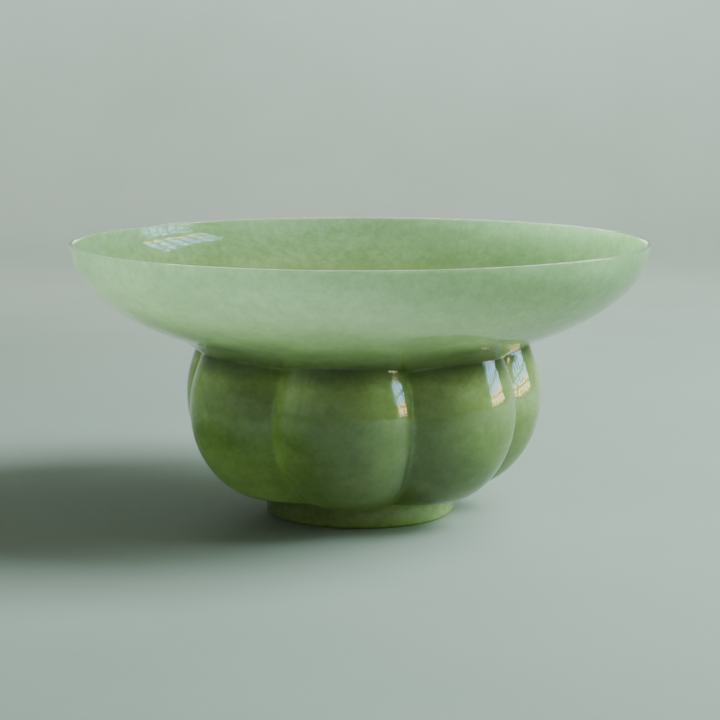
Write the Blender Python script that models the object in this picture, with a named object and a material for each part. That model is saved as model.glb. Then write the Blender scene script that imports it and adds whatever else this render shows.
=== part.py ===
"""Footed art glass bowl: a wide flared dish on a constricted neck, a seven-lobed hollow body and a ring foot.

The wall is cased glass: a thin opal green lining inside a thicker clear casing. Dimensions are in millimetres
and the scene is in metres. The origin is the centre of the foot's underside, +Z is up, and one lobe faces -Y.
"""

import math

import bmesh
import bpy
from mathutils import Vector

MM = 0.001

LOBES = 7
HALF_LOBE_STEPS = (0.0, 0.27, 0.52, 0.72, 0.88, 1.0)  # from crest to groove, closer where the valley is tight

RIM_HEIGHT = 166.0
RIM_RADIUS = 175.0
BASE_HEIGHT = 12.0
NECK_SEAM = 13.6  # station at which the flared dish joins the body, just above the crease

CASING = 2.3
LINING = 1.1
SEAM = 0.3  # clearance that stands for each fused glass joint
SEAM_STATIONS = 0.03  # half of the neck joint's clearance, in stations

# Outer skin as (radius, height) stations, from the centre of the base to the rim.
BASE = [(0.0, BASE_HEIGHT), (28.0, BASE_HEIGHT), (52.0, BASE_HEIGHT)]
LOBE_CREST = [(65, 12.5), (83, 17), (97, 28.5), (106.5, 43), (111, 58), (111.8, 72)]
LOBE_CREST += [(110.8, 82), (108.5, 90.5), (106.3, 97)]
LOBE_GROOVE = [(60, 15), (69, 21), (80, 31), (89, 44), (94, 57), (95, 68)]
LOBE_GROOVE += [(93.2, 79), (90, 87.5), (87, 93.5)]
# The crease under the dish is sharp, so its station is doubled.
NECK_CREST = [(104, 103.2), (104, 103.2), (109.5, 108.4), (115.5, 111.6)]
NECK_GROOVE = [(84.3, 97.6), (84.3, 97.6), (95, 102), (107.5, 107.8)]
DISH = [(122, 113.7), (137.5, 120.5), (155.3, 131.5), (168, 145), (174, 156.5)]
RIM = [(RIM_RADIUS, RIM_HEIGHT)]
CREST_LINE = BASE + LOBE_CREST + NECK_CREST + DISH + RIM
GROOVE_LINE = BASE + LOBE_GROOVE + NECK_GROOVE + DISH + RIM
LAST_STATION = len(CREST_LINE) - 1

LOBE_ARC_OFFSET = 0.579  # centre of a lobe's plan arc, as a share of the crest radius
LOBE_ARC_RADIUS = 0.421
VALLEY_SOFTNESS = 0.035  # radians over which a groove is rounded

BODY_ROWS = 18
DISH_ROWS = 10
TURN_WEIGHT = 30.0  # millimetres of profile that count the same as one radian of bend

FOOT_OUTER = 57.6
FOOT_INNER = 46.0
FOOT_ROUND = 3.0  # rounding of the outer edge it stands on
FOOT_ROUND_STEPS = 3
FOOT_INNER_EDGE = 1.2
FOOT_TOP = BASE_HEIGHT - SEAM

CLEAR_COLOUR = (0.80, 0.88, 0.80, 1.0)
OPAL_COLOUR = (0.28, 0.42, 0.20, 1.0)
FOOT_COLOUR = (0.24, 0.38, 0.17, 1.0)


def clear_scene():
    for thing in list(bpy.data.objects):
        bpy.data.objects.remove(thing, do_unlink=True)


def spline(points, station):
    """Uniform cubic B-spline through the stations' neighbourhood, ending on the first and last points."""
    first = [2 * a - b for a, b in zip(points[0], points[1])]
    last = [2 * a - b for a, b in zip(points[-1], points[-2])]
    ctrl = [first, *points, last]
    at = min(int(station), len(points) - 2)
    u = station - at
    weights = (
        (1 - u) ** 3 / 6,
        (3 * u**3 - 6 * u**2 + 4) / 6,
        (-3 * u**3 + 3 * u**2 + 3 * u + 1) / 6,
        u**3 / 6,
    )
    return [sum(w * p[axis] for w, p in zip(weights, ctrl[at : at + 4])) for axis in (0, 1)]


def arc_radius(angle):
    across = LOBE_ARC_OFFSET * math.sin(angle)
    return LOBE_ARC_OFFSET * math.cos(angle) + math.sqrt(LOBE_ARC_RADIUS**2 - across**2)


def lobe_share(angle):
    """1 on the crest of a lobe and 0 in a groove, following the lobe's round plan."""
    half = math.pi / LOBES
    off_crest = abs((angle + half) % (2 * half) - half)
    rounded = half - math.hypot(half - off_crest, VALLEY_SOFTNESS)
    low = arc_radius(half)
    return (arc_radius(max(rounded, 0.0)) - low) / (arc_radius(0.0) - low)


def plan_angles():
    """Angles of the columns of facets, all the way round."""
    half = math.pi / LOBES
    shares = [-share for share in HALF_LOBE_STEPS[:0:-1]] + list(HALF_LOBE_STEPS[:-1])
    one_lobe = [share * half for share in shares]
    return [2 * half * lobe + angle for lobe in range(LOBES) for angle in one_lobe]


def skin_point(station, angle):
    """A point of the outer skin, in millimetres. Angle 0 is -Y."""
    crest, groove = spline(CREST_LINE, station), spline(GROOVE_LINE, station)
    share = lobe_share(angle)
    radius, height = (g + (c - g) * share for c, g in zip(crest, groove))
    return Vector((radius * math.sin(angle), -radius * math.cos(angle), height))


def skin_normal(station, angle):
    """Outward normal of the outer skin."""
    if station < 1e-6:
        return Vector((0, 0, -1))
    step = 1e-3
    low, high = max(station - step, 0.0), min(station + step, LAST_STATION)
    up = skin_point(high, angle) - skin_point(low, angle)
    round_ = skin_point(station, angle + step) - skin_point(station, angle - step)
    return round_.cross(up).normalized()


def layer_point(station, angle, depth):
    """The skin moved in by depth. The rim is cut flat."""
    point = skin_point(station, angle) - skin_normal(station, angle) * depth
    if station >= LAST_STATION:
        point.z = RIM_HEIGHT
    return point


def stations_between(start, end, rows):
    """Stations spaced by length and bend along a lobe's crest, so tight curves get more rows."""
    fine = 400
    samples = [start + (end - start) * i / fine for i in range(fine + 1)]
    line = [Vector(spline(CREST_LINE, s)) for s in samples]
    reach = [0.0]
    for i in range(1, fine + 1):
        ahead = line[min(i + 1, fine)] - line[i]
        behind = line[i] - line[i - 1]
        bend = behind.angle(ahead) if ahead.length > 0 else 0.0
        reach.append(reach[-1] + behind.length + TURN_WEIGHT * bend)
    chosen = [start]
    for row in range(1, rows):
        target = reach[-1] * row / rows
        chosen.append(next(s for s, r in zip(samples, reach) if r >= target))
    return [*chosen, end]


def add_object(name, mesh, material):
    obj = bpy.data.objects.new(name, mesh)
    bpy.context.scene.collection.objects.link(obj)
    mesh.materials.append(material)
    mesh.shade_smooth()
    mesh.set_sharp_from_angle(angle=math.radians(40))
    return obj


def ring(bm, points):
    return [bm.verts.new(p * MM) for p in points]


def bridge(bm, lower, upper, inward=False):
    """Triangles between two rings. The diagonals run the same way on both faces of a layer."""
    count = len(lower)
    for i in range(count):
        j = (i + 1) % count
        for corners in ((lower[i], lower[j], upper[j]), (lower[i], upper[j], upper[i])):
            bm.faces.new(corners[::-1] if inward else corners)


def mesh_from(name, bm):
    mesh = bpy.data.meshes.new(name)
    bm.to_mesh(mesh)
    bm.free()
    return mesh


def layer_rings(bm, stations, depth):
    return [ring(bm, [layer_point(s, a, depth) for a in plan_angles()]) for s in stations]


def cap_with_fan(bm, rim, centre, facing_out):
    for i, vert in enumerate(rim):
        after = rim[(i + 1) % len(rim)]
        bm.faces.new((centre, after, vert) if facing_out else (centre, vert, after))


def shell(name, stations, outer_depth, inner_depth, material):
    """A layer of the wall between two depths. It is closed across the axis where its first station is 0."""
    bm = bmesh.new()
    closed = stations[0] == 0
    rows = stations[1:] if closed else stations
    outer, inner = (layer_rings(bm, rows, depth) for depth in (outer_depth, inner_depth))
    for side, inward in ((outer, False), (inner, True)):
        for first, second in zip(side, side[1:]):
            bridge(bm, first, second, inward)
    bridge(bm, outer[-1], inner[-1])
    if closed:
        for rim, depth, facing_out in ((outer[0], outer_depth, True), (inner[0], inner_depth, False)):
            cap_with_fan(bm, rim, ring(bm, [layer_point(0.0, 0.0, depth)])[0], facing_out)
    else:
        bridge(bm, inner[0], outer[0])
    return add_object(name, mesh_from(name, bm), material)


def turned(name, section, material):
    """A solid of revolution from a closed section of (radius, height), going up the outside first."""
    bm = bmesh.new()
    angles = plan_angles()
    rings = [ring(bm, [Vector((r * math.sin(a), -r * math.cos(a), z)) for a in angles]) for r, z in section]
    for first, second in zip(rings, [*rings[1:], rings[0]]):
        bridge(bm, first, second)
    return add_object(name, mesh_from(name, bm), material)


def glass(name, colour, roughness, transmission):
    material = bpy.data.materials.new(name)
    material.use_nodes = True
    shader = material.node_tree.nodes["Principled BSDF"]
    shader.inputs["Base Color"].default_value = colour
    shader.inputs["Roughness"].default_value = roughness
    shader.inputs["Transmission Weight"].default_value = transmission
    shader.inputs["IOR"].default_value = 1.5
    material.diffuse_color = colour
    return material


def build_walls():
    lining_depth = CASING + SEAM
    body = stations_between(0.0, NECK_SEAM - SEAM_STATIONS, BODY_ROWS)
    dish = stations_between(NECK_SEAM + SEAM_STATIONS, LAST_STATION, DISH_ROWS)
    for part, stations in (("body", body), ("dish", dish)):
        clear = glass(part + "_clear_glass", CLEAR_COLOUR, 0.03, 0.9)
        opal = glass(part + "_opal_glass", OPAL_COLOUR, 0.08, 0.0)
        shell(part + "_clear_casing", stations, 0.0, CASING, clear)
        shell(part + "_opal_lining", stations, lining_depth, lining_depth + LINING, opal)


def build_foot():
    turns = [math.pi / 2 * step / FOOT_ROUND_STEPS for step in range(FOOT_ROUND_STEPS + 1)]
    section = [
        (FOOT_OUTER - FOOT_ROUND * (1 - math.sin(turn)), FOOT_ROUND * (1 - math.cos(turn))) for turn in turns
    ]
    section += [
        (FOOT_OUTER, FOOT_TOP),
        (FOOT_INNER, FOOT_TOP),
        (FOOT_INNER, FOOT_INNER_EDGE),
        (FOOT_INNER + FOOT_INNER_EDGE, 0.0),
    ]
    turned("foot_ring", section, glass("foot_glass", FOOT_COLOUR, 0.05, 0.0))


def main():
    clear_scene()
    build_walls()
    build_foot()


main()
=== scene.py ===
"""Looks of the footed art glass bowl: an opal green lining cased in clear glass, on a plain pale floor.

The bowl's sizes are in millimetres of a bowl MODEL_HEIGHT tall, and grid_mesh scales them to the CAD model.
The stage, lights and camera are in metres.
"""

import math

import bpy
import numpy as np
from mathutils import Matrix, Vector


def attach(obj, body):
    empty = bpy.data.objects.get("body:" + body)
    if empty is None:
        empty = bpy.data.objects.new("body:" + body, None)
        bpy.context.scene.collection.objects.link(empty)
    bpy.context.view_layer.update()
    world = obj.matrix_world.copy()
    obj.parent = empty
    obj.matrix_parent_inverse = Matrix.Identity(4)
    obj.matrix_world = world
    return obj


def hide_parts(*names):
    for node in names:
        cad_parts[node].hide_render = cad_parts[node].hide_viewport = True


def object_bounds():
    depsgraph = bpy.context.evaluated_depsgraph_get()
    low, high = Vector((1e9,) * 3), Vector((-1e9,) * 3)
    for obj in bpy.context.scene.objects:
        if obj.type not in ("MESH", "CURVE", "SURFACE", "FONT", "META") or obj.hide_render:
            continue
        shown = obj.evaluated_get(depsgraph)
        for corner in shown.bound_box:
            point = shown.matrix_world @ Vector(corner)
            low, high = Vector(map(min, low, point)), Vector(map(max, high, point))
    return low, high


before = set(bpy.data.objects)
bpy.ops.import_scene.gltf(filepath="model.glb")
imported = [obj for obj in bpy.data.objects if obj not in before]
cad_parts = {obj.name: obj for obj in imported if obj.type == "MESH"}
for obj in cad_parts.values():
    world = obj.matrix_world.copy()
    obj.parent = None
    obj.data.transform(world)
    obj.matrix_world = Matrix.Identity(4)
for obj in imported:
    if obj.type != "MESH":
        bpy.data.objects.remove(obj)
cad_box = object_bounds()

MODEL_HEIGHT = 166.0
SCALE = (cad_box[1][2] - cad_box[0][2]) / MODEL_HEIGHT
QUARTER_TURN = math.pi / 2

# ---------------------------------------------------------------- shape

# Outer skin as (radius, height) stations, from the centre of the base to the rim. The crease under the dish
# is sharp, so its station is doubled.
BASE = [(0.0, 12.0), (28.0, 12.0), (52.0, 12.0)]
LOBE_CREST = [(65, 12.5), (83, 17), (97, 28.5), (106.5, 43), (111, 58), (111.8, 72)]
LOBE_CREST += [(110.8, 82), (108.5, 90.5), (106.3, 97)]
LOBE_GROOVE = [(60, 15), (69, 21), (80, 31), (89, 44), (94, 57), (95, 68)]
LOBE_GROOVE += [(93.2, 79), (90, 87.5), (87, 93.5)]
NECK_CREST = [(104, 103.2), (104, 103.2), (109.5, 108.4), (115.5, 111.6)]
NECK_GROOVE = [(84.3, 97.6), (84.3, 97.6), (95, 102), (107.5, 107.8)]
DISH = [(122, 113.7), (137.5, 120.5), (155.3, 131.5), (168, 145), (174, 156.5), (175, 166)]
CREST_LINE = np.array(BASE + LOBE_CREST + NECK_CREST + DISH, float)
GROOVE_LINE = np.array(BASE + LOBE_GROOVE + NECK_GROOVE + DISH, float)
LAST_STATION = len(CREST_LINE) - 1

LOBES = 7
HALF_LOBE = math.pi / LOBES
ARC_OFFSET, ARC_RADIUS = 0.579, 0.421  # a lobe's plan arc: its centre and radius over the crest radius
VALLEY_SOFTNESS = 0.022  # radians over which a groove is rounded

COLUMNS_PER_LOBE = 44
COLUMN_EASE = 1.35  # above 1, so the columns stand closer together in the grooves
WALL_ROWS = 150
BEND_WEIGHT = 14.0  # millimetres of profile that count the same as one radian of bend
FINE_STATIONS = 4001
NORMAL_STEP = 1e-4
NO_LENGTH = 1e-12

# The casing runs a little past the start of the lining, so that no gap shows between the layers.
CASING_DEPTH = 2.45
LINING_START = 2.3
WALL = 3.7
RIM_ROUND = 0.45
RIM_ROUND_STEPS = 5
LINING_DROP = 0.12  # the lining stops this far under the polished rim

FOOT_OUTER, FOOT_INNER = 57.6, 46.0
FOOT_ROUND, FOOT_ROUND_STEPS = 3.0, 9
FOOT_INNER_EDGE, FOOT_INNER_EDGE_STEPS = 1.2, 5
INNER_WALL_ROW = 6.0  # height of a row half way up the foot's inner wall
COVE_START, COVE_REACH = 8.5, 1.6  # where the foot starts to flare into the body, and by how much
COVE_STEPS, LID_STEPS = 10, 8
UNDERSIDE_STATIONS = (1.5, 6.0, 400)  # first, last and number of stations over the foot
TOUCH = 0.03  # clearance between the foot and the body


def spline(points, stations):
    """Uniform cubic B-spline that ends on the first and last points."""
    ctrl = np.vstack([2 * points[0] - points[1], points, 2 * points[-1] - points[-2]])
    at = np.minimum(stations.astype(int), len(points) - 2)
    u = (stations - at)[:, None]
    weights = ((1 - u) ** 3, 3 * u**3 - 6 * u**2 + 4, -3 * u**3 + 3 * u**2 + 3 * u + 1, u**3)
    return sum(w * ctrl[at + i] for i, w in enumerate(weights)) / 6


def arc_radius(angle):
    return ARC_OFFSET * np.cos(angle) + np.sqrt(ARC_RADIUS**2 - (ARC_OFFSET * np.sin(angle)) ** 2)


def lobe_share(angle):
    """1 on the crest of a lobe and 0 in a groove."""
    off_crest = np.abs((angle + HALF_LOBE) % (2 * HALF_LOBE) - HALF_LOBE)
    rounded = HALF_LOBE - np.hypot(HALF_LOBE - off_crest, VALLEY_SOFTNESS)
    low = arc_radius(HALF_LOBE)
    return (arc_radius(np.maximum(rounded, 0.0)) - low) / (arc_radius(0.0) - low)


def turned(radius, angles, height):
    """Points at a radius, an angle and a height. Angle 0 is -Y."""
    return np.stack([radius * np.sin(angles), -radius * np.cos(angles), height], -1)


def skin(stations, angles):
    """Points of the outer skin as an array of rows, columns and xyz."""
    crest, groove = spline(CREST_LINE, stations), spline(GROOVE_LINE, stations)
    share = lobe_share(angles)[None, :, None]
    line = groove[:, None, :] + (crest - groove)[:, None, :] * share
    return turned(line[..., 0], angles, line[..., 1])


def skin_normals(stations, angles):
    """Outward normals of the outer skin. On the axis, where the columns meet, they point straight down."""
    above = skin(np.minimum(stations + NORMAL_STEP, LAST_STATION), angles)
    below = skin(np.maximum(stations - NORMAL_STEP, 0), angles)
    around = skin(stations, angles + NORMAL_STEP) - skin(stations, angles - NORMAL_STEP)
    normal = np.cross(around, above - below)
    length = np.linalg.norm(normal, axis=-1, keepdims=True)
    return np.where(length > NO_LENGTH, normal / np.maximum(length, NO_LENGTH), (0.0, 0.0, -1.0))


def plan_angles():
    """Angles of the columns, all the way round."""
    s = np.linspace(-1, 1, COLUMNS_PER_LOBE + 1)[:-1]
    eased = np.sign(s) * (1 - (1 - np.abs(s)) ** COLUMN_EASE)
    return (np.arange(LOBES)[:, None] * 2 * HALF_LOBE + eased[None, :] * HALF_LOBE).ravel()


def wall_stations():
    """Stations spaced by length and bend along a crest."""
    fine = np.linspace(0.0, LAST_STATION, FINE_STATIONS)
    line = spline(CREST_LINE, fine)
    steps = np.diff(line, axis=0)
    heading = np.unwrap(np.arctan2(steps[:, 1], steps[:, 0]))
    bend = np.abs(np.diff(heading, prepend=heading[0]))
    reach = np.concatenate([[0.0], np.cumsum(np.hypot(*steps.T) + BEND_WEIGHT * bend)])
    return np.interp(np.linspace(0, reach[-1], WALL_ROWS + 1), reach, fine)


def layer(stations, angles, depth, rim_drop):
    """The skin moved in by depth, ending level rim_drop below the rim."""
    points = skin(stations, angles) - skin_normals(stations, angles) * depth
    top = MODEL_HEIGHT - rim_drop
    points[-1, :, 2] = top
    points[:, :, 2] = np.minimum(points[:, :, 2], top)
    return points


def rounded_rim(outer_edge, inner_edge):
    """Rows that round the two corners of the cut rim between its outer and inner edges."""
    outward = outer_edge - inner_edge
    outward /= np.linalg.norm(outward, axis=-1, keepdims=True)
    turns = np.linspace(0, QUARTER_TURN, RIM_ROUND_STEPS)
    rows = []
    for edge, side, side_turns in ((outer_edge, -1, turns), (inner_edge, 1, turns[::-1])):
        for turn in side_turns:
            row = edge + outward * side * RIM_ROUND * (1 - math.cos(turn))
            row[:, 2] -= RIM_ROUND * (1 - math.sin(turn))
            rows.append(row)
    return np.stack(rows)


def closed_wall(outer, inner):
    """Outer rows up, round the rim and inner rows down, as one grid. Both start on the axis."""
    rim = rounded_rim(outer[-1], inner[-1])
    low_rim = outer[-1, 0, 2] - RIM_ROUND
    keep_outer = outer[:, :, 2].max(1) < low_rim
    keep_inner = inner[:, :, 2].max(1) < low_rim
    return np.concatenate([outer[keep_outer], rim, inner[keep_inner][::-1]])


def add_mesh(name, verts, faces, material):
    mesh = bpy.data.meshes.new(name)
    mesh.from_pydata(verts, [], faces)
    mesh.materials.append(material)
    mesh.shade_smooth()
    obj = bpy.data.objects.new(name, mesh)
    bpy.context.scene.collection.objects.link(obj)
    return obj


def grid_mesh(name, grid, material, poles=True):
    """A closed surface from rows of points.

    With poles, the first and last rows are single points on the axis. Without, the last row joins the first.
    """
    body = grid[1:-1] if poles else grid
    verts = body.reshape(-1, 3)
    index = np.arange(len(verts)).reshape(body.shape[:2])
    after = np.roll(index, -1, axis=1)
    faces = []
    for low in range(len(body) - 1 if poles else len(body)):
        high = (low + 1) % len(body)
        faces += np.stack([index[low], after[low], after[high], index[high]], -1).tolist()
    if poles:
        bottom, top = len(verts), len(verts) + 1
        verts = np.vstack([verts, grid[0].mean(0), grid[-1].mean(0)])
        faces += [[bottom, b, a] for a, b in zip(index[0], after[0])]
        faces += [[top, a, b] for a, b in zip(index[-1], after[-1])]
    return add_mesh(name, (verts * SCALE).tolist(), faces, material)


# ---------------------------------------------------------------- materials

MIX_FACTOR, MIX_A, MIX_B, MIX_RESULT = 0, 6, 7, 2  # the Mix node's sockets when it mixes colours


class Nodes:
    """Short ways to add and join shader nodes."""

    def __init__(self, tree, coords):
        self.tree = tree
        kind, output = coords
        self.coords = self.add(kind).outputs[output]

    def add(self, kind, **values):
        """A node with its settings or inputs given by name, with _ for a space."""
        node = self.tree.nodes.new("ShaderNode" + kind)
        for key, value in values.items():
            if hasattr(node, key):
                setattr(node, key, value)
            else:
                node.inputs[key.replace("_", " ")].default_value = value
        return node

    def link(self, source, target):
        self.tree.links.new(source, target)

    def feed(self, socket, value):
        """Link another node's output to a socket, or set its number or colour."""
        if hasattr(value, "links"):
            self.link(value, socket)
        elif isinstance(value, tuple):
            socket.default_value = (*value, 1.0)
        else:
            socket.default_value = value

    def noise(self, scale, detail, roughness, vector=None):
        node = self.add("TexNoise", Scale=scale, Detail=detail, Roughness=roughness)
        self.link(vector or self.coords, node.inputs["Vector"])
        return node.outputs["Fac"]

    def stretched(self, scale):
        """The coordinates, scaled along each axis."""
        node = self.add("Mapping", Scale=scale)
        self.link(self.coords, node.inputs["Vector"])
        return node.outputs[0]

    def ramp(self, fac, stops):
        node = self.add("ValToRGB")
        elements = node.color_ramp.elements
        while len(elements) < len(stops):
            elements.new(0.5)
        for element, (place, colour) in zip(elements, stops):
            element.position, element.color = place, (*colour, 1.0)
        self.link(fac, node.inputs["Fac"])
        return node.outputs["Color"]

    def split(self, vector):
        node = self.add("SeparateXYZ")
        self.link(vector, node.inputs[0])
        return node.outputs

    def remap(self, value, source, result, interpolation="LINEAR"):
        node = self.add("MapRange", interpolation_type=interpolation)
        self.link(value, node.inputs["Value"])
        for socket, number in zip(("From Min", "From Max", "To Min", "To Max"), (*source, *result)):
            node.inputs[socket].default_value = number
        return node.outputs[0]

    def maths(self, operation, a, b=0.0):
        node = self.add("Math", operation=operation)
        for socket, value in zip(node.inputs, (a, b)):
            self.feed(socket, value)
        return node.outputs[0]

    def vector_maths(self, operation, output, vector):
        """The named output of an operation on the coordinates and a vector."""
        node = self.add("VectorMath", operation=operation)
        self.link(self.coords, node.inputs[0])
        node.inputs[1].default_value = vector
        return node.outputs[output]

    def mix(self, fac, a, b, blend="MIX"):
        node = self.add("Mix", data_type="RGBA", blend_type=blend)
        for place, value in ((MIX_FACTOR, fac), (MIX_A, a), (MIX_B, b)):
            self.feed(node.inputs[place], value)
        return node.outputs[MIX_RESULT]

    def multiply(self, a, b):
        return self.mix(1.0, a, b, "MULTIPLY")


class Paint(Nodes):
    """Nodes of a new material."""

    def __init__(self, name):
        self.material = bpy.data.materials.new(name)
        self.material.use_nodes = True
        self.material.node_tree.nodes.clear()
        super().__init__(self.material.node_tree, ("TexCoord", "Object"))
        self.out = self.add("OutputMaterial")


GLASS_IOR = 1.5
CLEAR_TINT = (0.93, 0.97, 0.93, 1.0)
SHADOW_TINT = (0.93, 0.96, 0.93, 1.0)
DEPTH_TINT, DEPTH_DENSITY = (0.70, 0.84, 0.68, 1.0), 90.0
RIPPLE_NOISE = (42.0, 3.0, 0.55)  # each _NOISE, here and below, is a scale, a detail and a roughness
RIPPLE_STRENGTH, RIPPLE_DISTANCE = 0.09, 0.0012


def clear_glass(name):
    """Polished clear glass with a slight ripple. Shadow rays go straight through it, barely tinted."""
    n = Paint(name)
    shader = n.add("BsdfPrincipled", Base_Color=CLEAR_TINT, Roughness=0.0, IOR=GLASS_IOR)
    shader.inputs["Transmission Weight"].default_value = 1.0
    ripple = n.add("Bump", Strength=RIPPLE_STRENGTH, Distance=RIPPLE_DISTANCE)
    n.link(n.noise(*RIPPLE_NOISE), ripple.inputs["Height"])
    n.link(ripple.outputs[0], shader.inputs["Normal"])
    path = n.add("LightPath")
    see_through = n.add("BsdfTransparent", Color=SHADOW_TINT)
    mixed = n.add("MixShader")
    n.link(path.outputs["Is Shadow Ray"], mixed.inputs[0])
    n.link(shader.outputs[0], mixed.inputs[1])
    n.link(see_through.outputs[0], mixed.inputs[2])
    n.link(mixed.outputs[0], n.out.inputs["Surface"])
    depth = n.add("VolumeAbsorption", Color=DEPTH_TINT, Density=DEPTH_DENSITY)
    n.link(depth.outputs[0], n.out.inputs["Volume"])
    return n.material


# Greens of the opal lining by height, tuned until the render came near the photo. They partly make up for the
# lights, so the real glass needn't be palest at the shoulder or deepest at the crease.
# Painted light and shade: the pale band at the shoulder, at 90 mm, is painted light, the dark band at the
# crease, at 101.5 mm, is painted shade, and the dish's paling towards the rim is partly painted light.
VESSEL_GREENS_AND_PAINTED_LIGHT = (
    (12.0, (0.215, 0.245, 0.085)), (60.0, (0.245, 0.305, 0.080)), (90.0, (0.480, 0.530, 0.245)),
    (101.5, (0.110, 0.130, 0.045)), (111.0, (0.155, 0.185, 0.065)), (119.0, (0.185, 0.245, 0.075)),
    (132.0, (0.250, 0.360, 0.110)), (160.0, (0.290, 0.490, 0.195)),
)
FOOT_GREENS = (0.0, (0.31, 0.40, 0.13)), (12.0, (0.27, 0.34, 0.12))
CLOUD_NOISE, CLOUD_STRETCH = (15.0, 5.0, 0.6), (1.0, 1.0, 2.6)
CLOUD_TINTS = (0.30, (0.74, 0.76, 0.66)), (0.72, (1.22, 1.18, 1.30))
MOTTLE_NOISE = (170.0, 4.0, 0.8)
MOTTLE_TINTS = (0.25, (0.70, 0.73, 0.62)), (0.80, (1.22, 1.18, 1.28))
OPAL_ROUGHNESS = 0.04
SCATTER_RADIUS = (0.89, 0.98, 0.78)
SCATTER_RISE = (106.0, 136.0)  # heights between which the light's spread inside the glass goes up
SCATTER_DEEP, SCATTER_PALE = 0.0056, 0.0135


def opal_glass(name, greens):
    """Milky glass that scatters light inside itself. Its green varies by height, which on the vessel is
    partly painted light and shade, and in clouds and mottle.
    """
    n = Paint(name)
    height = n.split(n.coords)["Z"]
    share_of_height = n.maths("DIVIDE", height, MODEL_HEIGHT * SCALE)
    colour = n.ramp(share_of_height, [(place / MODEL_HEIGHT, green) for place, green in greens])
    cloud = n.ramp(n.noise(*CLOUD_NOISE, n.stretched(CLOUD_STRETCH)), CLOUD_TINTS)
    mottle = n.ramp(n.noise(*MOTTLE_NOISE), MOTTLE_TINTS)
    shader = n.add("BsdfPrincipled", Roughness=OPAL_ROUGHNESS, IOR=GLASS_IOR)
    n.link(n.multiply(n.multiply(colour, cloud), mottle), shader.inputs["Base Color"])
    shader.inputs["Subsurface Weight"].default_value = 1.0
    shader.inputs["Subsurface Radius"].default_value = SCATTER_RADIUS
    rise = [place * SCALE for place in SCATTER_RISE]
    n.link(n.remap(height, rise, (SCATTER_DEEP, SCATTER_PALE)), shader.inputs["Subsurface Scale"])
    n.link(shader.outputs[0], n.out.inputs["Surface"])
    return n.material


# ---------------------------------------------------------------- pieces


def build_bowl():
    angles, stations = plan_angles(), wall_stations()
    casing = closed_wall(layer(stations, angles, 0.0, 0.0), layer(stations, angles, CASING_DEPTH, 0.0))
    lining = closed_wall(
        layer(stations, angles, LINING_START, LINING_DROP), layer(stations, angles, WALL, LINING_DROP)
    )
    clear = grid_mesh("vessel_clear_casing", casing, clear_glass("polished_clear_glass"))
    # The vessel's greens by height are partly painted light and shade.
    opal = grid_mesh("vessel_opal_lining", lining, opal_glass("opal_green_glass", VESSEL_GREENS_AND_PAINTED_LIGHT))
    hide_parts("dish_clear_casing", "body_clear_casing")
    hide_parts("dish_opal_lining", "body_opal_lining")
    for piece in (clear, opal):
        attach(piece, "root")


def underside(radii, angles):
    """Height of the outer skin above each radius and angle, near the foot."""
    stations = np.linspace(*UNDERSIDE_STATIONS)
    points = skin(stations, angles)
    reach = np.hypot(points[..., 0], points[..., 1])
    return np.stack([np.interp(radii[:, i], reach[:, i], points[:, i, 2]) for i in range(len(angles))], 1)


def rounded_foot_edge(radius, rounding, side, turns):
    """Section of an edge that the foot stands on. side is -1 for the outer edge and 1 for the inner one."""
    return [(radius + side * rounding * (1 - math.sin(t)), rounding * (1 - math.cos(t))) for t in turns]


def build_foot():
    """The foot's section goes up the outside, flares under the body, and comes back down the inside."""
    angles = plan_angles()
    all_round = np.ones(len(angles))
    turns = np.linspace(0, QUARTER_TURN, FOOT_ROUND_STEPS)
    outer = rounded_foot_edge(FOOT_OUTER, FOOT_ROUND, -1, turns)
    outer += [(FOOT_OUTER, (FOOT_ROUND + COVE_START) / 2), (FOOT_OUTER, COVE_START)]
    rise = np.linspace(0, 1, COVE_STEPS)[1:, None]
    flare = FOOT_OUTER + COVE_REACH * rise**3 * all_round
    top = underside(flare, angles) - TOUCH
    cove = np.stack([flare, COVE_START + (top - COVE_START) * rise], 1)
    across = np.linspace(FOOT_OUTER + COVE_REACH, FOOT_INNER, LID_STEPS)[1:, None] * all_round
    lid = np.stack([across, underside(across, angles) - TOUCH], 1)
    turns = np.linspace(QUARTER_TURN, 0, FOOT_INNER_EDGE_STEPS)
    inner = [(FOOT_INNER, INNER_WALL_ROW), *rounded_foot_edge(FOOT_INNER, FOOT_INNER_EDGE, 1, turns)]
    outer, inner = (np.array(section)[:, :, None] * all_round for section in (outer, inner))
    rows = np.concatenate([outer, cove, lid, inner])
    grid = turned(rows[:, 0], angles, rows[:, 1])
    foot = grid_mesh("foot_ring_glass", grid, opal_glass("foot_opal_glass", FOOT_GREENS), False)
    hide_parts("foot_ring")
    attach(foot, "root")


# ---------------------------------------------------------------- stage, lights and camera

VIEW_ANGLE = math.radians(6.4)  # the camera stands this far round from -Y towards +X
CAMERA_REACH, CAMERA_HEIGHT, CAMERA_PITCH = 1.2835, 0.2839, math.radians(8.47)
LENS, SENSOR_WIDTH, CLIP_START = 106.2, 36.0, 0.05


def seen_from_camera(right, away, up):
    """A point given as metres to the camera's right, away from it past the bowl's axis, and up."""
    c, s = math.cos(VIEW_ANGLE), math.sin(VIEW_ANGLE)
    return Vector((right * c - away * s, right * s + away * c, up))


def around_bowl(degrees, reach, up):
    """A point reach metres from the bowl's axis, turned from the camera's side towards its right."""
    turn = math.radians(degrees)
    return seen_from_camera(reach * math.sin(turn), -reach * math.cos(turn), up)


def on_axis(up):
    return Vector((0, 0, up))


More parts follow.
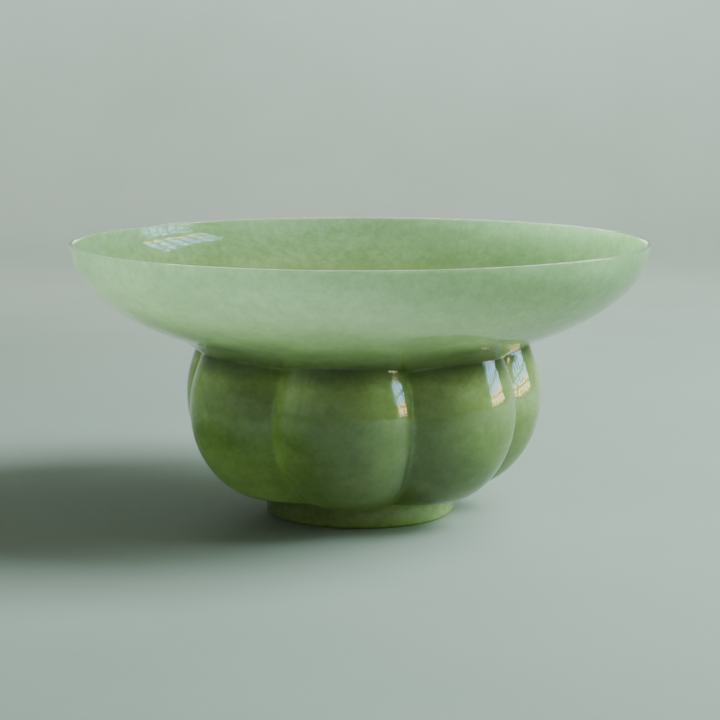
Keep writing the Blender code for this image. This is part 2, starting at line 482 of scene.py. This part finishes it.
SWEEP_FRONT, SWEEP_START, SWEEP_RADIUS = -2.5, 1.55, 0.65  # the floor's start, its upturn and its bend
SWEEP_TOP, SWEEP_SIDE = 3.0, 4.0
SWEEP_TURNS = (0.1, QUARTER_TURN, 14)
LIFT_HEIGHT = 0.5  # by here the floor's colour has turned into the backdrop's
LIFT_TINTS = (0.0, (0.40, 0.44, 0.37)), (1.0, (0.57, 0.65, 0.58))
GRAIN_NOISE, GRAIN_SHARE, GRAIN_TINT = (160.0, 4.0, 0.6), 0.08, (0.7, 0.74, 0.7)
BLOTCH_NOISE = (2.2, 5.0, 0.6)
BLOTCH_TINTS = (0.30, (0.90, 0.92, 0.91)), (0.70, (1.05, 1.04, 1.05))
SWEEP_ROUGHNESS = 0.75


def build_stage():
    """A pale floor that sweeps up into a pale backdrop."""
    n = Paint("sweep_paint")
    lift = n.remap(n.split(n.coords)["Z"], (0.0, LIFT_HEIGHT), (0.0, 1.0))
    colour = n.ramp(lift, LIFT_TINTS)
    colour = n.mix(n.maths("MULTIPLY", n.noise(*GRAIN_NOISE), GRAIN_SHARE), colour, GRAIN_TINT)
    colour = n.multiply(colour, n.ramp(n.noise(*BLOTCH_NOISE), BLOTCH_TINTS))
    shader = n.add("BsdfPrincipled", Roughness=SWEEP_ROUGHNESS)
    n.link(colour, shader.inputs["Base Color"])
    n.link(shader.outputs[0], n.out.inputs["Surface"])
    turns = np.linspace(*SWEEP_TURNS)
    profile = [(SWEEP_FRONT, 0.0), (SWEEP_START, 0.0)]
    profile += [(SWEEP_START + SWEEP_RADIUS * math.sin(t), SWEEP_RADIUS * (1 - math.cos(t))) for t in turns]
    profile += [(SWEEP_START + SWEEP_RADIUS, SWEEP_TOP)]
    verts = [seen_from_camera(side, away, up) for away, up in profile for side in (-SWEEP_SIDE, SWEEP_SIDE)]
    faces = [(2 * i, 2 * i + 1, 2 * i + 3, 2 * i + 2) for i in range(len(profile) - 1)]
    floor = add_mesh("pale_sweep", verts, faces, n.material)


def area_light(name, place, aim, size, power, colour, in_gloss=False, in_diffuse=True):
    light = bpy.data.lights.new(name, "AREA")
    light.shape, light.size, light.size_y = "RECTANGLE", *size
    light.energy, light.color = power, colour
    obj = bpy.data.objects.new(name, light)
    obj.location = place
    obj.visible_camera, obj.visible_glossy, obj.visible_diffuse = False, in_gloss, in_diffuse
    obj.rotation_euler = (aim - place).to_track_quat("-Z", "Y").to_euler()
    bpy.context.scene.collection.objects.link(obj)
    return light


WHITE = (1.0, 1.0, 1.0)
STREET, SKY = (1.35, 0.95, 0.45), (0.42, 0.80, 1.15)
SKYLINE_NOISE, SKYLINE_SWAY, SKYLINE_BLUR = (9.0, 4.0, 0.5), 0.35, 0.05
PANES_ACROSS, PANES_UP = 6, 3
PANE, DULL_PANE = (1.0, 1.0, 1.0, 1.0), (0.85, 0.85, 0.85, 1.0)
GLAZING_BAR, GLAZING_BAR_WIDTH = (0.15, 0.17, 0.13, 1.0), 0.026
LEAF_NOISE, LEAF_EDGE, LEAF_SHADE = (16.0, 4.0, 0.7), (0.40, 0.52), 0.30
MIDDLE = (0.5, 0.5, 0.0)  # of a light's own coordinates, which run from 0 to 1
RAGGED_NOISE, RAGGED_SWAY, RAGGED_EDGE = (8.0, 4.0, 0.65), 0.9, (0.86, 0.89)
BEYOND_EDGE = 0.12  # share of the light that is left beyond the ragged edge


def window_light(name, place, aim, size, power, skyline, twig_scale):
    """A large window that shows in the glass and lights no matt surface.

    It has sky above the skyline and a sunlit street below, and is cut up by glazing bars, a few leaves and a
    ragged edge.
    """
    light = area_light(name, place, aim, size, power, WHITE, in_gloss=True, in_diffuse=False)
    light.use_nodes = True
    n = Nodes(light.node_tree, ("NewGeometry", "Parametric"))
    sway = n.maths("MULTIPLY", n.noise(*SKYLINE_NOISE), SKYLINE_SWAY)
    level = n.maths("ADD", n.split(n.coords)["Y"], sway)
    view = n.ramp(level, [(skyline, STREET), (skyline + SKYLINE_BLUR, SKY)])
    panes = n.add("TexBrick", offset=0.0, Scale=1.0, Mortar_Size=GLAZING_BAR_WIDTH, Mortar=GLAZING_BAR,
                  Brick_Width=1 / PANES_ACROSS, Row_Height=1 / PANES_UP, Color1=PANE, Color2=DULL_PANE)
    n.link(n.coords, panes.inputs["Vector"])
    leaves = n.remap(n.noise(*LEAF_NOISE, n.stretched(twig_scale)), LEAF_EDGE, (LEAF_SHADE, 1.0))
    away = n.split(n.vector_maths("SUBTRACT", "Vector", MIDDLE))
    furthest = n.maths("MAXIMUM", n.maths("ABSOLUTE", away["X"]), n.maths("ABSOLUTE", away["Y"]))
    ragged = n.maths("ADD", furthest, n.maths("MULTIPLY", n.noise(*RAGGED_NOISE), RAGGED_SWAY))
    inside = n.remap(ragged, RAGGED_EDGE, (1.0, BEYOND_EDGE))
    emission = light.node_tree.nodes["Emission"]
    n.link(n.multiply(view, panes.outputs["Color"]), emission.inputs["Color"])
    n.link(n.maths("MULTIPLY", inside, leaves), emission.inputs["Strength"])


HORIZON_LIGHT, OVERHEAD_LIGHT = 0.44, 0.15
OVERHEAD = (-0.08, 0.05, 0.995)  # right, away and up from the camera
DIM_FROM = 0.5  # cosine of the angle from overhead within which the room is at its dimmest
COOL_SIDE, WARM_SIDE = (0.92, 1.08, 1.10), (0.72, 0.68, 0.40)
TINT_REACH = 0.8  # how far to each side the tint goes on changing


def build_room():
    """Soft light from all round, dimmer overhead, cool from the camera's left and warm from its right."""
    world = bpy.data.worlds.new("soft_room")
    world.use_nodes = True
    bpy.context.scene.world = world
    n = Nodes(world.node_tree, ("TexCoord", "Generated"))
    overhead = n.vector_maths("DOT_PRODUCT", "Value", seen_from_camera(*OVERHEAD))
    strength = n.remap(overhead, (0.0, DIM_FROM), (HORIZON_LIGHT, OVERHEAD_LIGHT), "SMOOTHSTEP")
    across = n.vector_maths("DOT_PRODUCT", "Value", seen_from_camera(1.0, 0.0, 0.0))
    rightward = n.remap(across, (-TINT_REACH, TINT_REACH), (0.0, 1.0))
    sky = world.node_tree.nodes["Background"]
    n.link(n.ramp(rightward, [(0.0, COOL_SIDE), (1.0, WARM_SIDE)]), sky.inputs["Color"])
    n.link(strength, sky.inputs["Strength"])


# A _PLACE is given to around_bowl for the windows and the key, and to seen_from_camera for the other lights.
# The windows and the key are aimed at a height on the bowl's axis.
WINDOW_PLACE, WINDOW_AIM, WINDOW_SIZE = (96.0, 1.6, 0.35), 0.30, (0.90, 0.66)
WINDOW_POWER, WINDOW_SKYLINE, WINDOW_TWIGS = 29.0, 0.62, (0.45, 1.2, 1.0)
FILL_POWER, FILL_COLOUR = 17.0, (0.55, 1.0, 0.85)
HIGH_WINDOW_PLACE, HIGH_WINDOW_AIM, HIGH_WINDOW_SIZE = (97.0, 1.35, 1.0), 0.16, (1.15, 0.60)
HIGH_WINDOW_POWER, HIGH_WINDOW_SKYLINE, HIGH_WINDOW_TWIGS = 36.0, 0.40, (1.3, 0.5, 1.0)
KEY_PLACE, KEY_AIM, KEY_SIZE = (89.0, 1.24, 1.33), 0.15, (1.0, 1.0)
KEY_POWER, KEY_COLOUR = 62.0, (0.80, 1.0, 1.05)
BACKDROP_LIGHT_PLACE, BACKDROP_LIGHT_AIM = (0.0, 1.10, 1.05), (0.0, 2.05, 0.15)
BACKDROP_LIGHT_SIZE, BACKDROP_LIGHT_POWER = (3.2, 0.3), 17.0
BACKDROP_LIGHT_COLOUR = (0.95, 1.0, 0.96)
RIM_STRIP_PLACE, RIM_STRIP_AIM = (0.03, 1.4, 0.335), (0.03, -0.175, 0.166)
RIM_STRIP_SIZE, RIM_STRIP_POWER, RIM_STRIP_COLOUR = (0.55, 0.11), 1.2, (1.0, 1.0, 0.80)


def build_lights():
    window = around_bowl(*WINDOW_PLACE)
    window_light("window_light", window, on_axis(WINDOW_AIM), WINDOW_SIZE,
                 WINDOW_POWER, WINDOW_SKYLINE, WINDOW_TWIGS)
    area_light("window_fill", window, on_axis(WINDOW_AIM), WINDOW_SIZE, FILL_POWER, FILL_COLOUR)
    window_light("high_window", around_bowl(*HIGH_WINDOW_PLACE), on_axis(HIGH_WINDOW_AIM), HIGH_WINDOW_SIZE,
                 HIGH_WINDOW_POWER, HIGH_WINDOW_SKYLINE, HIGH_WINDOW_TWIGS)
    area_light("key_softbox", around_bowl(*KEY_PLACE), on_axis(KEY_AIM), KEY_SIZE, KEY_POWER, KEY_COLOUR)
    area_light("backdrop_light", seen_from_camera(*BACKDROP_LIGHT_PLACE),
               seen_from_camera(*BACKDROP_LIGHT_AIM), BACKDROP_LIGHT_SIZE,
               BACKDROP_LIGHT_POWER, BACKDROP_LIGHT_COLOUR)
    # A low strip beyond the bowl, for the flat-cut rim to mirror towards the camera.
    area_light("rim_strip", seen_from_camera(*RIM_STRIP_PLACE), seen_from_camera(*RIM_STRIP_AIM),
               RIM_STRIP_SIZE, RIM_STRIP_POWER, RIM_STRIP_COLOUR, in_gloss=True, in_diffuse=False)


def build_camera():
    camera = bpy.data.cameras.new("camera")
    camera.lens = LENS
    camera.sensor_width = SENSOR_WIDTH
    camera.clip_start = CLIP_START
    obj = bpy.data.objects.new("camera", camera)
    obj.location = seen_from_camera(0.0, -CAMERA_REACH, CAMERA_HEIGHT)
    obj.rotation_euler = (QUARTER_TURN - CAMERA_PITCH, 0.0, VIEW_ANGLE)
    bpy.context.scene.collection.objects.link(obj)
    bpy.context.scene.camera = obj


build_camera()
build_stage()
build_room()
build_lights()
build_bowl()
build_foot()
